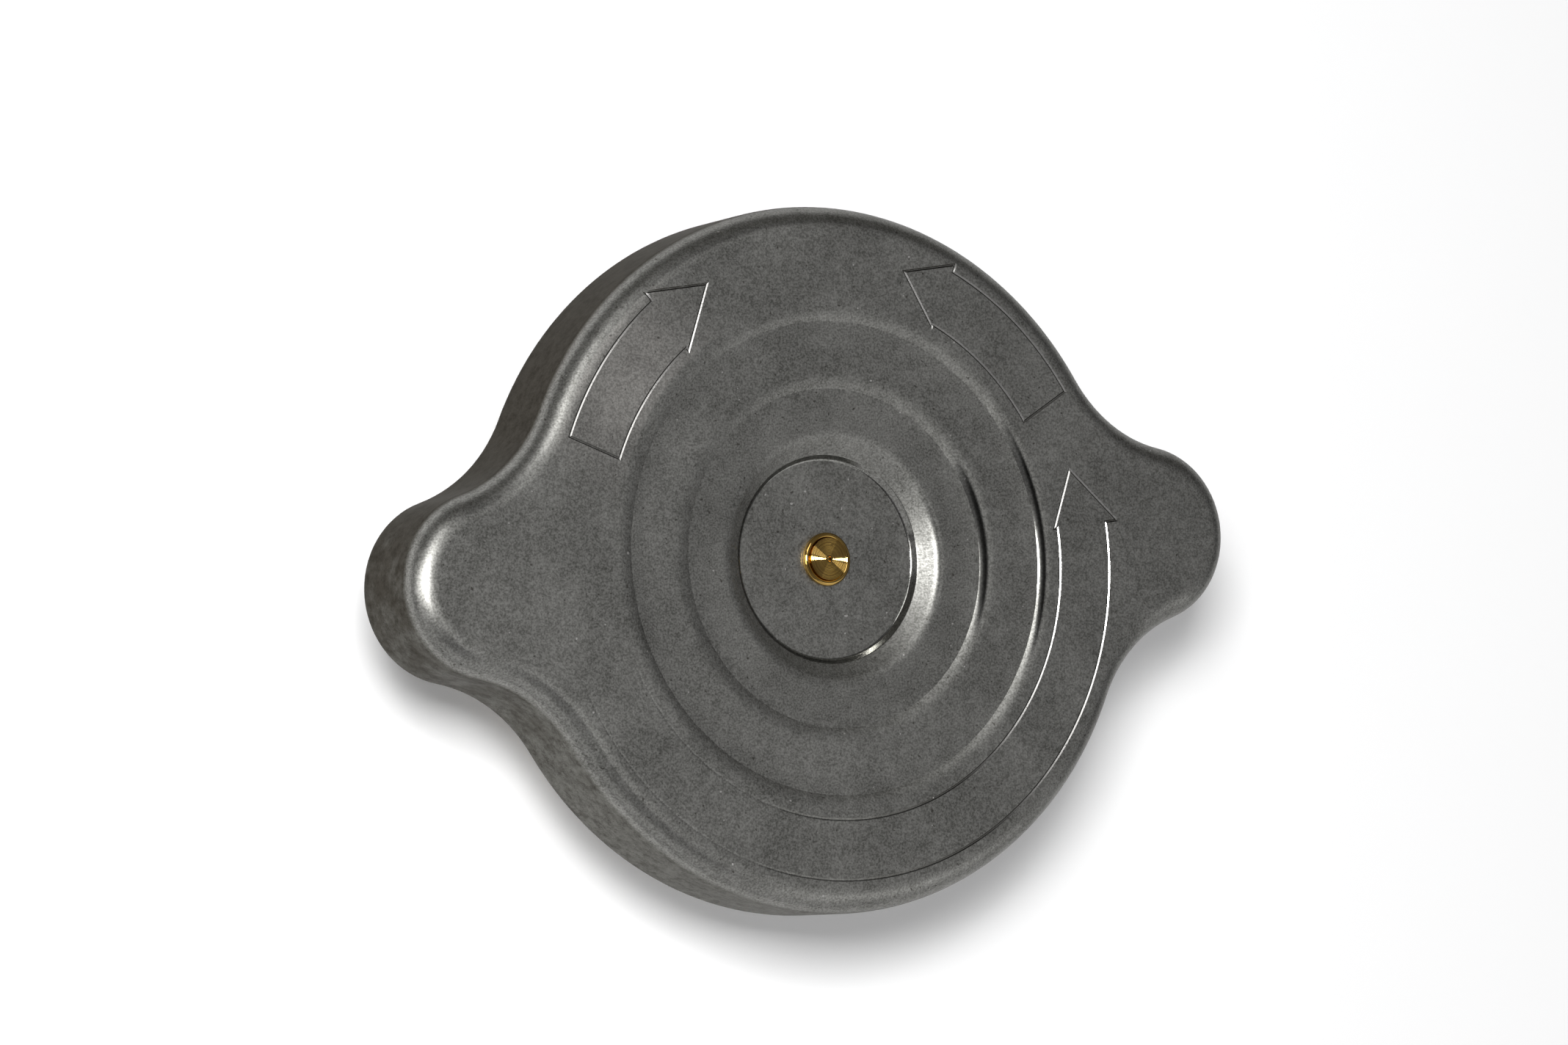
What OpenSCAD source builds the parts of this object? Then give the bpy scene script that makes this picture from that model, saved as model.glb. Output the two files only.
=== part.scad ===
// Bayonet pressure cap for a radiator's filler neck: a winged cover over a sprung valve plunger.
// The origin is the centre of the lower seal's face, on which the cap stands, with +Z up.

/* [Cover] */
// Diameter of the cover's round body
body_d = 58; // [54:0.5:64]
// Distance from the axis to the centre of each wing's tip
wing_reach = 31.6; // [29:0.1:36]
// Radius of each wing's tip
wing_tip_r = 7.5; // [6:0.1:9]
// Radius of the hollow curve from wing to body
wing_blend_r = 12.6; // [10:0.1:16]
// Height of the skirt, from the top face to the underside of the hem
skirt_h = 9.6; // [9:0.1:12]
// Thickness of the cover's sheet
cover_t = 0.8; // [0.6:0.05:1]
// Outer radius of the rolled top edge
edge_r = 2.2; // [1.6:0.1:3]
// Outer radius of the hem's bend
hem_r = 1.2; // [1.1:0.05:1.5]
// Width of the hem that is turned in under the locking ring
hem_w = 1.9; // [1.7:0.1:2.2]

/* [Dish] */
// Radius at the foot of the outer step
outer_step_r = 19.4; // [18:0.1:20.5]
// Height of the outer step
outer_step_h = 0.45; // [0.3:0.05:0.7]
// Radius at the foot of the inner step
inner_step_r = 14; // [13:0.1:16]
// Height of the inner step
inner_step_h = 0.45; // [0.3:0.05:0.7]
// Width of each step's slope
step_w = 1.6; // [1:0.1:2]
// Radius of the flat disc in the middle
disc_r = 8.4; // [7:0.1:9.5]
// Depth of the flat disc below the top face
disc_depth = 2.5; // [2:0.1:3]
// Width of the slope around the flat disc
disc_slope_w = 2.4; // [1.6:0.1:3]

/* [Locking ring] */
// Thickness of the locking ring's sheet
ring_t = 0.8; // [0.6:0.05:1]
// Outer radius of the bend from the ring's plate to its wall
ring_bend_r = 2; // [1.2:0.1:3]
// Reach of each tang from the ring's wall towards the axis
tang_reach = 3; // [2:0.1:3.5]
// Angle that each tang covers
tang_angle = 44; // [30:1:60]
// Height of the stop at the end of each tang
stop_h = 0.6; // [0.3:0.05:0.9]
// Angle that each stop covers
stop_angle = 4; // [3:0.5:8]

/* [Rivet] */
// Diameter of the rivet's head
rivet_head_d = 4.4; // [3.8:0.1:6]
// Height of the rivet's head
rivet_head_h = 0.6; // [0.4:0.05:1]
// Chamfer around the rivet's head
rivet_chamfer = 0.2; // [0.1:0.05:0.3]
// Diameter of the rivet's shank
rivet_d = 3; // [2.4:0.1:3.4]
// Diameter of the upset tail
rivet_tail_d = 5.4; // [4.5:0.1:6.5]
// Height of the upset tail
rivet_tail_h = 0.8; // [0.5:0.1:1.2]
// Radial clearance of the plunger on the shank
swivel_gap = 0.08; // [0.03:0.01:0.1]

/* [Washers] */
// Diameter of the washer on which the plunger swivels
swivel_washer_d = 14; // [9:0.5:20]
// Thickness of the washer on which the plunger swivels
swivel_washer_t = 0.4; // [0.3:0.05:0.6]
// Diameter of the washer over the rivet's tail
rivet_washer_d = 9; // [7.5:0.5:13]
// Thickness of the washer over the rivet's tail
rivet_washer_t = 0.5; // [0.3:0.05:0.8]

/* [Upper seal] */
// Distance from the upper seal's face to the lower seal's face
seal_reach = 19; // [18:0.5:25]
// Outer diameter of the upper seal
upper_seal_d = 47; // [43:0.5:48]
// Thickness of the upper seal
upper_seal_t = 1.6; // [1.2:0.1:2]
// How far the diaphragm spring stands out past the upper seal
diaphragm_margin = 0.2; // [0:0.1:0.5]
// Thickness of the diaphragm spring
diaphragm_t = 0.3; // [0.2:0.05:0.5]

/* [Spring bell] */
// Outer diameter of the bell
bell_d = 28.4; // [27:0.2:31]
// Height of the bell
bell_h = 12.4; // [11:0.1:13]
// Thickness of the bell's sheet
bell_t = 0.7; // [0.5:0.05:0.9]
// Outer radius of the bend at the bell's top
bell_bend_r = 1.4; // [1.1:0.1:2.5]
// Width of the lip turned in at the bell's mouth
bell_lip_w = 1.9; // [1.5:0.1:2.4]
// Number of windows in the bell's wall
window_count = 4; // [3:1:6]
// Angle that each window covers
window_angle = 46; // [20:1:48]
// Height of each window
window_h = 5.6; // [4:0.1:6]
// Wall left above each window, up to the upper seal's face
window_drop = 1.2; // [0.8:0.1:2]

/* [Pressure valve] */
// Clearance of the guide cup in the bell
slide_gap = 0.3; // [0.2:0.05:0.4]
// Thickness of the guide cup's sheet
guide_cup_t = 0.6; // [0.5:0.05:0.8]
// Outer radius of the bend at the guide cup's floor
guide_bend_r = 1.2; // [1:0.1:2]
// Diameter of the valve plate
valve_plate_d = 35.2; // [33:0.2:38]
// Thickness of the valve plate
valve_plate_t = 0.8; // [0.6:0.05:1]
// Thickness of the lower seal
lower_seal_t = 2.4; // [2.2:0.1:3]
// Thickness of the lower seal's inner lip, the seat of the vacuum valve
seal_lip_t = 1.2; // [1:0.1:1.3]
// Diameter of the hole in the lower seal
seal_hole_d = 9; // [8.6:0.2:11]
// Thickness of the brass seal retainer
retainer_t = 0.6; // [0.4:0.05:0.8]
// Width of the retainer's lips around seal and plate
retainer_lip_w = 1.4; // [1:0.1:2]
// Height of the retainer's lower edge above the lower seal's face
retainer_rise = 0.6; // [0.4:0.05:0.8]

/* [Main spring] */
// Wire diameter of the main spring
main_wire_d = 1.6; // [1:0.1:1.8]
// Turns of the main spring, closed ends included
main_turns = 6.5; // [5:0.5:7.5]
// Clearance between the main spring and the guide cup's wall
main_side_gap = 0.4; // [0.3:0.05:0.8]

/* [Vacuum valve] */
// Diameter of the vacuum valve's disc
vacuum_disc_d = 16.8; // [14:0.2:18]
// Thickness of the vacuum valve's disc
vacuum_disc_t = 0.8; // [0.5:0.05:0.95]
// Radial clearance around the vacuum valve's disc
vacuum_disc_gap = 0.8; // [0.4:0.1:1.2]
// Diameter of the vacuum valve's stem
stem_d = 2.4; // [1.8:0.1:2.6]
// Radial clearance of the stem in its guide
stem_gap = 0.08; // [0.03:0.01:0.1]
// Diameter of the stem's upset end
stem_head_d = 3.6; // [3:0.1:4.4]
// Height of the stem's upset end
stem_head_h = 0.5; // [0.3:0.05:0.8]
// Number of vent holes around the stem
vent_count = 4; // [3:1:5]
// Diameter of each vent hole
vent_d = 1.5; // [1:0.1:1.6]
// Radius of the circle of vent holes
vent_circle_r = 3.2; // [3:0.05:3.3]
// Length of the vacuum spring in place
vacuum_spring_h = 4.2; // [3.8:0.1:6]
// Mean diameter of the vacuum spring
vacuum_spring_d = 5; // [4.4:0.1:5.6]
// Wire diameter of the vacuum spring
vacuum_wire_d = 0.45; // [0.3:0.05:0.5]
// Turns of the vacuum spring, closed ends included
vacuum_turns = 5; // [4:0.5:6]
// Thickness of the vacuum spring's cap
spring_cap_t = 0.4; // [0.3:0.05:0.6]
// Depth of the rim of the vacuum spring's cap
spring_cap_rim_h = 0.8; // [0.4:0.1:1]

/* [Fits] */
// Clearance between pieces that are pressed or crimped together
fit_gap = 0.05; // [0.02:0.01:0.08]
// Clearance at each end of a spring
spring_end_gap = 0.05; // [0.02:0.01:0.1]

/* [Hidden] */
$fn = 96;

// Heights, stacked up from the lower seal's face
plate_z = lower_seal_t;
plate_top_z = plate_z + valve_plate_t;
cup_floor_z = plate_top_z + guide_cup_t;
diaphragm_z = seal_reach + upper_seal_t;
swivel_z = diaphragm_z + diaphragm_t;
ring_z = swivel_z + swivel_washer_t;
disc_z = ring_z + ring_t;
disc_top_z = disc_z + cover_t;
top_z = disc_top_z + disc_depth;
hem_z = top_z - skirt_h;
tang_z = hem_z + cover_t;
bell_z = diaphragm_z - bell_h;
bell_roof_z = diaphragm_z - bell_t;
tail_z = bell_roof_z - rivet_washer_t;
vacuum_seat_z = lower_seal_t - seal_lip_t;
cap_z = cup_floor_z + vacuum_spring_h;

// Radii
body_r = body_d / 2;
ring_r = body_r - hem_r - fit_gap;
ring_inner_r = ring_r - ring_t;
rivet_r = rivet_d / 2;
rivet_hole_r = rivet_r + fit_gap;
swivel_hole_r = rivet_r + swivel_gap;
upper_seal_r = upper_seal_d / 2;
bell_r = bell_d / 2;
bell_lip_r = bell_r - bell_lip_w;
guide_r = bell_lip_r - slide_gap;
guide_flange_r = bell_r - bell_t - slide_gap;
valve_r = valve_plate_d / 2;
retainer_r = valve_r + fit_gap + retainer_t;
retainer_lip_r = retainer_r - retainer_lip_w;
main_spring_r = guide_r - guide_cup_t - main_side_gap - main_wire_d / 2;
vacuum_disc_r = vacuum_disc_d / 2;
stem_r = stem_d / 2;
stem_hole_r = stem_r + stem_gap;
spring_cap_r = vacuum_spring_d / 2 + vacuum_wire_d / 2 + spring_cap_t + stem_gap;

// Centre of a wing's blend circle, which touches the body circle and the tip circle
blend_to_body = body_r + wing_blend_r;
blend_to_tip = wing_tip_r + wing_blend_r;
blend_x = (blend_to_body ^ 2 - blend_to_tip ^ 2 + wing_reach ^ 2) / (2 * wing_reach);
blend_y = sqrt(blend_to_body ^ 2 - blend_x ^ 2);
body_end_angle = atan2(blend_y, blend_x);
tip_end_angle = atan2(blend_y, blend_x - wing_reach);

// Spring wire: sides of its section and steps in each turn
wire_sides = 10;
turn_steps = 24;
// Rise of a closed end turn, as a multiple of the wire's diameter
closed_pitch = 1.06;
// Steps along each slope of the dish and around each bend of the cover's sheet
slope_steps = 3;
bend_steps = 4;
// Steps along a quarter of the cover's outline: wing tip, hollow curve and body
tip_steps = 5;
blend_steps = 4;
body_steps = 8;

steel = "#77767a";
zinc_steel = "#b9b7ae";
spring_steel = "#6f7074";
brass = "#b98d3e";
rubber = "#1d1d1f";

// Rise from 0 to 1 over a slope: a crisp foot and a softly rounded top
function rise(u) = sin(90 * min(max(u, 0), 1));
function dish_depth(r) =
    (disc_depth - inner_step_h - outer_step_h) * (1 - rise((r - disc_r) / disc_slope_w))
    + inner_step_h * (1 - rise((r - inner_step_r) / step_w))
    + outer_step_h * (1 - rise((r - outer_step_r) / step_w));
function slope_radii(foot_r, w) = [for (i = [0:slope_steps]) foot_r + w * i / slope_steps];

// Points of an arc, each with its outward normal, which points to the centre where the curve is hollow
function arc_point(centre, r, a, side) = [centre + r * [cos(a), sin(a)], side * [cos(a), sin(a)]];
function arc(centre, r, from, to, steps, count, side) =
    [for (i = [0:count]) arc_point(centre, r, from + (to - from) * i / steps, side)];

// A quarter of the outline, from the middle of a wing's tip to the side of the body
blend_from = 180 + tip_end_angle;
blend_to = 180 + body_end_angle;
quarter = concat(
    arc([wing_reach, 0], wing_tip_r, 0, tip_end_angle, tip_steps, tip_steps - 1, 1),
    arc([blend_x, blend_y], wing_blend_r, blend_from, blend_to, blend_steps, blend_steps - 1, -1),
    arc([0, 0], body_r, body_end_angle, 90, body_steps, body_steps, 1)
);
function flip(p, x, y) = [[p[0][0] * x, p[0][1] * y], [p[1][0] * x, p[1][1] * y]];
last = len(quarter) - 1;
outline = concat(
    [for (i = [0:last - 1]) quarter[i]],
    [for (i = [last:-1:1]) flip(quarter[i], -1, 1)],
    [for (i = [0:last - 1]) flip(quarter[i], -1, -1)],
    [for (i = [last:-1:1]) flip(quarter[i], 1, -1)]
);

// Points around a bend of the cover's section: x is outwards from the outline, y is up from the top face
function bend_points(centre, r, from, to) = [
    for (i = [0:bend_steps])
        let (a = from + (to - from) * i / bend_steps)
        centre + r * [cos(a), sin(a)]
];

// Rings of points on the cover: around the axis, or along the outline at a point of the section
function round_ring(r, z) = [
    for (p = outline)
        let (q = p[0] - edge_r * p[1])
        [r * q[0] / norm(q), r * q[1] / norm(q), z]
];
function edge_ring(s) = [for (p = outline) concat(p[0] + s[0] * p[1], [s[1]])];

// Height of a coil's centre line after t of n turns, with the first and last turn closed
function coil_z(t, n, h, wire_d) =
    let (closed = wire_d * closed_pitch, open = (h - wire_d - 2 * closed) / (n - 2))
    t < 1 ? t * closed
    : t > n - 1 ? h - wire_d - (n - t) * closed
    : closed + (t - 1) * open;

// A round wire wound into a compression spring of height h, standing on z = 0
module coil_spring(r, wire_d, n, h) {
    rings = ceil(n * turn_steps);
    wire_r = wire_d / 2;
    points = [
        for (i = [0:rings], j = [0:wire_sides - 1])
            let (
                turn = i / rings * n,
                a = 360 * turn,
                b = 360 * j / wire_sides,
                x = r + wire_r * cos(b)
            )
            [x * cos(a), x * sin(a), wire_r + coil_z(turn, n, h, wire_d) + wire_r * sin(b)]
    ];
    skin = [
        for (i = [0:rings - 1], j = [0:wire_sides - 1], half = [0, 1])
            let (
                k = (j + 1) % wire_sides,
                p = i * wire_sides + j,
                q = i * wire_sides + k,
                s = p + wire_sides,
                t = q + wire_sides
            )
            half == 0 ? [p, q, t] : [p, t, s]
    ];
    first_end = [for (j = [wire_sides - 1:-1:0]) j];
    last_end = [for (j = [0:wire_sides - 1]) rings * wire_sides + j];
    polyhedron(points, concat(skin, [first_end, last_end]), convexity = 6);
}

// A flat ring from z upwards
module washer(r, hole_r, z, t) {
    translate([0, 0, z])
        difference() {
            cylinder(r = r, h = t);
            translate([0, 0, -t])
                cylinder(r = hole_r, h = 3 * t);
        }
}

// A rectangle between two corners, as part of a section to be turned about the axis
module block(low, high) {
    translate(low)
        square(high - low);
}

// A quarter of a sheet's bend around a centre, in the quadrant given by the signs of side
module bend(centre, r, t, side) {
    translate(centre)
        intersection() {
            difference() {
                circle(r);
                circle(r - t);
            }
            scale([side[0], side[1]])
                square(2 * r);
        }
}

// The cover's sheet as one closed skin: over the dish and the edge, round the hem and back inside
module cover() {
    radii = concat(
        [rivet_hole_r],
        slope_radii(disc_r, disc_slope_w),
        slope_radii(inner_step_r, step_w),
        slope_radii(outer_step_r, step_w)
    );
    edge_centre = [-edge_r, -edge_r];
    hem_centre = [-hem_r, hem_r - skirt_h];
    edge = concat(
        bend_points(edge_centre, edge_r, 90, 0),
        bend_points(hem_centre, hem_r, 0, -90),
        [[-hem_w, -skirt_h], [-hem_w, cover_t - skirt_h]],
        bend_points(hem_centre, hem_r - cover_t, -90, 0),
        bend_points(edge_centre, edge_r - cover_t, 0, 90)
    );
    rings = concat(
        [for (r = radii) round_ring(r, -dish_depth(r))],
        [for (s = edge) edge_ring(s)],
        [for (i = [len(radii) - 1:-1:0]) round_ring(radii[i], -dish_depth(radii[i]) - cover_t)]
    );
    around = len(outline);
    count = len(rings);
    points = [for (ring = rings, p = ring) p];
    faces = [
        for (i = [0:count - 1], j = [0:around - 1], half = [0, 1])
            let (
                i2 = (i + 1) % count * around,
                j2 = (j + 1) % around,
                p = i * around + j,
                q = i * around + j2,
                s = i2 + j,
                t = i2 + j2
            )
            half == 0 ? [p, q, t] : [p, t, s]
    ];
    color(steel)
        translate([0, 0, top_z])
            polyhedron(points, faces, convexity = 8);
}

// Two tangs on the Y axis, each with a stop at one end
module tangs() {
    tang_r = ring_inner_r - tang_reach;
    root_r = ring_r - ring_t / 2;
    tang_top_z = tang_z + ring_t;
    for (turn = [0, 180])
        rotate([0, 0, turn + 90 - tang_angle / 2]) {
            rotate_extrude(angle = tang_angle)
                block([tang_r, tang_z], [root_r, tang_top_z]);
            rotate_extrude(angle = stop_angle)
                block([tang_r, tang_z], [root_r, tang_top_z + stop_h]);
        }
}

module locking_ring() {
    color(zinc_steel) {
        rotate_extrude() {
            block([rivet_hole_r, ring_z], [ring_r - ring_bend_r, disc_z]);
            bend([ring_r - ring_bend_r, disc_z - ring_bend_r], ring_bend_r, ring_t, [1, 1]);
            block([ring_inner_r, tang_z], [ring_r, disc_z - ring_bend_r]);
        }
        tangs();
    }
}

module rivet() {
    head_r = rivet_head_d / 2;
    tail_r = rivet_tail_d / 2;
    head_z = disc_top_z + rivet_head_h;
    color(brass)
        rotate_extrude()
            polygon([
                [0, tail_z - rivet_tail_h],
                [tail_r - rivet_chamfer, tail_z - rivet_tail_h],
                [tail_r, tail_z - rivet_tail_h + rivet_chamfer],
                [tail_r, tail_z],
                [rivet_r, tail_z],
                [rivet_r, disc_top_z],
                [head_r, disc_top_z],
                [head_r, head_z - rivet_chamfer],
                [head_r - rivet_chamfer, head_z],
                [0, head_z]
            ]);
}

module swivel_washer() {
    color(zinc_steel)
        washer(swivel_washer_d / 2, rivet_hole_r, swivel_z, swivel_washer_t);
}

module rivet_washer() {
    color(zinc_steel)
        washer(rivet_washer_d / 2, rivet_hole_r, tail_z, rivet_washer_t);
}

module diaphragm() {
    color(spring_steel)
        washer(upper_seal_r + diaphragm_margin, swivel_hole_r, diaphragm_z, diaphragm_t);
}

module upper_seal() {
    color(rubber)
        washer(upper_seal_r, bell_r + fit_gap, seal_reach, upper_seal_t);
}

module spring_bell() {
    color(zinc_steel)
        difference() {
            rotate_extrude() {
                block([swivel_hole_r, bell_roof_z], [bell_r - bell_bend_r, diaphragm_z]);
                bend([bell_r - bell_bend_r, diaphragm_z - bell_bend_r], bell_bend_r, bell_t, [1, 1]);
                block([bell_r - bell_t, bell_z], [bell_r, diaphragm_z - bell_bend_r]);
                block([bell_lip_r, bell_z], [bell_r - bell_t, bell_z + bell_t]);
            }
            for (i = [0:window_count - 1])
                rotate([0, 0, i * 360 / window_count])
                    translate([0, 0, seal_reach - window_drop - window_h])
                        rotate_extrude(angle = window_angle, start = -window_angle / 2)
                            block([guide_r, 0], [bell_d, window_h]);
        }
}

module main_spring() {
    spring_h = bell_roof_z - cup_floor_z - 2 * spring_end_gap;
    color(spring_steel)
        translate([0, 0, cup_floor_z + spring_end_gap])
            coil_spring(main_spring_r, main_wire_d, main_turns, spring_h);
}

// Holes for the stem and for the air that the vacuum valve lets in
module stem_holes(z, t) {
    translate([0, 0, z - t]) {
        cylinder(r = stem_hole_r, h = 3 * t);
        for (i = [0:vent_count - 1])
            rotate([0, 0, (i + 0.5) * 360 / vent_count])
                translate([vent_circle_r, 0, 0])
                    cylinder(d = vent_d, h = 3 * t);
    }
}

module guide_cup() {
    flange_z = bell_z + bell_t;
    flange_top_z = flange_z + guide_cup_t;
    bend_centre = [guide_r - guide_bend_r, plate_top_z + guide_bend_r];
    color(zinc_steel)
        difference() {
            rotate_extrude() {
                block([0, plate_top_z], [bend_centre[0], cup_floor_z]);
                bend(bend_centre, guide_bend_r, guide_cup_t, [1, -1]);
                block([guide_r - guide_cup_t, bend_centre[1]], [guide_r, flange_top_z]);
                block([guide_r, flange_z], [guide_flange_r, flange_top_z]);
            }
            stem_holes(plate_top_z, guide_cup_t);
        }
}

module valve_plate() {
    color(zinc_steel)
        difference() {
            translate([0, 0, plate_z])
                cylinder(r = valve_r, h = valve_plate_t);
            stem_holes(plate_z, valve_plate_t);
        }
}

module lower_seal() {
    recess_r = vacuum_disc_r + vacuum_disc_gap;
    seal_r = retainer_lip_r - fit_gap;
    shoulder_z = retainer_rise + retainer_t + fit_gap;
    color(rubber)
        rotate_extrude() {
            block([seal_hole_d / 2, vacuum_seat_z], [seal_r, lower_seal_t]);
            block([recess_r, 0], [seal_r, lower_seal_t]);
            block([recess_r, shoulder_z], [valve_r, lower_seal_t]);
        }
}

module seal_retainer() {
    color(brass)
        rotate_extrude() {
            block([retainer_lip_r, retainer_rise], [retainer_r, retainer_rise + retainer_t]);
            block([retainer_r - retainer_t, retainer_rise], [retainer_r, plate_top_z + retainer_t]);
            block([retainer_lip_r, plate_top_z], [retainer_r, plate_top_z + retainer_t]);
        }
}

module vacuum_valve() {
    head_z = cap_z + spring_cap_t;
    color(brass) {
        translate([0, 0, vacuum_seat_z - vacuum_disc_t])
            cylinder(r = vacuum_disc_r, h = vacuum_disc_t);
        translate([0, 0, vacuum_seat_z - vacuum_disc_t / 2])
            cylinder(r = stem_r, h = head_z - vacuum_seat_z + vacuum_disc_t / 2 + stem_head_h / 2);
        translate([0, 0, head_z])
            cylinder(d = stem_head_d, h = stem_head_h);
    }
}

module vacuum_spring() {
    spring_h = vacuum_spring_h - 2 * spring_end_gap;
    color(spring_steel)
        translate([0, 0, cup_floor_z + spring_end_gap])
            coil_spring(vacuum_spring_d / 2, vacuum_wire_d, vacuum_turns, spring_h);
}

module vacuum_spring_cap() {
    rim_z = cap_z - spring_cap_rim_h;
    cap_top_z = cap_z + spring_cap_t;
    color(brass)
        rotate_extrude() {
            block([stem_r + fit_gap, cap_z], [spring_cap_r, cap_top_z]);
            block([spring_cap_r - spring_cap_t, rim_z], [spring_cap_r, cap_top_z]);
        }
}

cover();
locking_ring();
rivet();
swivel_washer();
rivet_washer();
diaphragm();
upper_seal();
spring_bell();
main_spring();
guide_cup();
valve_plate();
lower_seal();
seal_retainer();
vacuum_valve();
vacuum_spring();
vacuum_spring_cap();
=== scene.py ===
import math

import bmesh
import bpy
from mathutils import Matrix, Vector
from mathutils.geometry import delaunay_2d_cdt, intersect_point_line


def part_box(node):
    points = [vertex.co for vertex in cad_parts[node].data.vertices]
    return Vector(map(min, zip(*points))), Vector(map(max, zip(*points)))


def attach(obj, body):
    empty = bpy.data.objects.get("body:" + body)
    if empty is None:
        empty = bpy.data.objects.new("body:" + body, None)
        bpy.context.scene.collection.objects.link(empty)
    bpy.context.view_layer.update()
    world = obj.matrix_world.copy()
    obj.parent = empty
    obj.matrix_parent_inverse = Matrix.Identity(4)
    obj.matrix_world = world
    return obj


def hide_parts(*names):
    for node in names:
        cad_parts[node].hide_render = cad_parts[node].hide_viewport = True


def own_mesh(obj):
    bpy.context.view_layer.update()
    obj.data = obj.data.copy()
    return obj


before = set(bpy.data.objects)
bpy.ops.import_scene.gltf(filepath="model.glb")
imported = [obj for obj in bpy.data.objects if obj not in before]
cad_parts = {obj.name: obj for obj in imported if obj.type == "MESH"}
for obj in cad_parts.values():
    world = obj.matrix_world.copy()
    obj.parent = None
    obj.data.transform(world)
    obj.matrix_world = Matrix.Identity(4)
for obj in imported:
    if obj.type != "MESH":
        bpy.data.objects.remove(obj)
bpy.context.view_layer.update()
mm = 0.001  # sizes below are in millimetres


def nodeBox(name):
    low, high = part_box(name)
    return low / mm, high / mm


def addObject(name, data):
    made = bpy.data.objects.new(name, data)
    bpy.context.collection.objects.link(made)
    return made


# camera, set at the angle of the photograph

photo = {
    "width": 2136,
    "height": 1424,
    "topCentre": (1146.2, 759.2),  # pixel of the middle of the top face
    "pixelsPerMm": 16.72,  # at that point
    "distance": 439.5,
    "azimuth": 183.28,  # of the camera, counted from +X
    "elevation": 58.28,
    "roll": 81.65,
    "sensor": 36.0,
}


def addCamera(view, target):
    azimuth, elevation, roll = (math.radians(view[key]) for key in ("azimuth", "elevation", "roll"))
    back = Vector((math.cos(elevation) * math.cos(azimuth), math.cos(elevation) * math.sin(azimuth),
                   math.sin(elevation)))
    level = Vector((-math.sin(azimuth), math.cos(azimuth), 0))
    upright = back.cross(level)
    right = math.cos(roll) * level + math.sin(roll) * upright
    up = back.cross(right)
    data = bpy.data.cameras.new("photoCamera")
    data.sensor_width = view["sensor"]
    data.lens = view["pixelsPerMm"] * view["distance"] / view["width"] * view["sensor"]
    data.shift_x = (view["width"] / 2 - view["topCentre"][0]) / view["width"]
    data.shift_y = (view["topCentre"][1] - view["height"] / 2) / view["width"]
    data.clip_start = 0.01
    camera = addObject("photoCamera", data)
    turned = Matrix((right, up, back)).transposed()
    camera.matrix_world = Matrix.Translation(target + back * view["distance"] * mm) @ turned.to_4x4()
    bpy.context.scene.camera = camera


topZ = nodeBox("cover")[1].z
addCamera(photo, Vector((0, 0, topZ * mm)))
print("camera set")


# node graphs: one class wraps a socket and takes part in arithmetic

def operator(operation, reflected=False):
    def made(self, other):
        return self.math(operation, *((other, self) if reflected else (self, other)))
    return made


class Sock:
    def __init__(self, tree, socket=None):
        self.tree = tree
        self.socket = socket

    def node(self, kind, settings=None, sockets=None, out=0):
        made = self.tree.nodes.new(kind)
        for key, value in (settings or {}).items():
            setattr(made, key, value)
        for key, value in (sockets or {}).items():
            if isinstance(value, Sock):
                self.tree.links.new(value.socket, made.inputs[key])
            else:
                made.inputs[key].default_value = value
        return Sock(self.tree, made.outputs[out] if len(made.outputs) else None)

    def math(self, operation, *values):
        return self.node("ShaderNodeMath", {"operation": operation}, dict(enumerate(values)))

    __add__, __radd__ = operator("ADD"), operator("ADD", True)
    __sub__, __rsub__ = operator("SUBTRACT"), operator("SUBTRACT", True)
    __mul__, __rmul__ = operator("MULTIPLY"), operator("MULTIPLY", True)
    __truediv__, __rtruediv__ = operator("DIVIDE"), operator("DIVIDE", True)
    __pow__ = operator("POWER")


def newMaterial(name):
    material = bpy.data.materials.new(name)
    material.use_nodes = True
    material.node_tree.nodes.clear()
    return material, Sock(material.node_tree)


def coordsInMm(start):
    coords = start.node("ShaderNodeTexCoord", out="Object")
    return start.node("ShaderNodeVectorMath", {"operation": "SCALE"}, {0: coords, "Scale": 1 / mm})


def split(vector, axis):
    return vector.node("ShaderNodeSeparateXYZ", None, {0: vector}, axis)


def noise(place, perMm, detail, roughness=0.5):
    return place.node("ShaderNodeTexNoise", None, {
        "Vector": place, "Scale": perMm, "Detail": detail, "Roughness": roughness})


def stretched(place, factors):
    return place.node("ShaderNodeVectorMath", {"operation": "MULTIPLY"}, {0: place, 1: factors})


def span(value, low, high):  # 0 at low, 1 at high and smooth between them
    return value.node("ShaderNodeMapRange", {"interpolation_type": "SMOOTHSTEP"}, {
        "Value": value, "From Min": low, "From Max": high})


def within(value, limit, soft):  # 1 below the limit and 0 above it
    return span(value, limit + soft, limit - soft)


def mixed(share, first, second):
    return share.node("ShaderNodeMix", {"data_type": "RGBA"}, {0: share, 6: first, 7: second}, 2)


def bumped(height, strength, depthMm):
    return height.node("ShaderNodeBump", None, {
        "Strength": strength, "Distance": depthMm * mm, "Height": height})


def fromAxis(place):  # x, y and the distance from the Z axis
    x, y = split(place, 0), split(place, 1)
    return x, y, (x * x + y * y) ** 0.5


def principled(start, colour, rough, relief, metal=1.0, edgeTint=(1, 1, 1, 1)):
    surface = start.node("ShaderNodeBsdfPrincipled", None, {
        "Base Color": colour, "Metallic": metal, "Roughness": rough, "Normal": relief,
        "Specular Tint": edgeTint})
    start.node("ShaderNodeOutputMaterial", None, {"Surface": surface})


# pressed and satin-finished sheet of the cover

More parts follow.
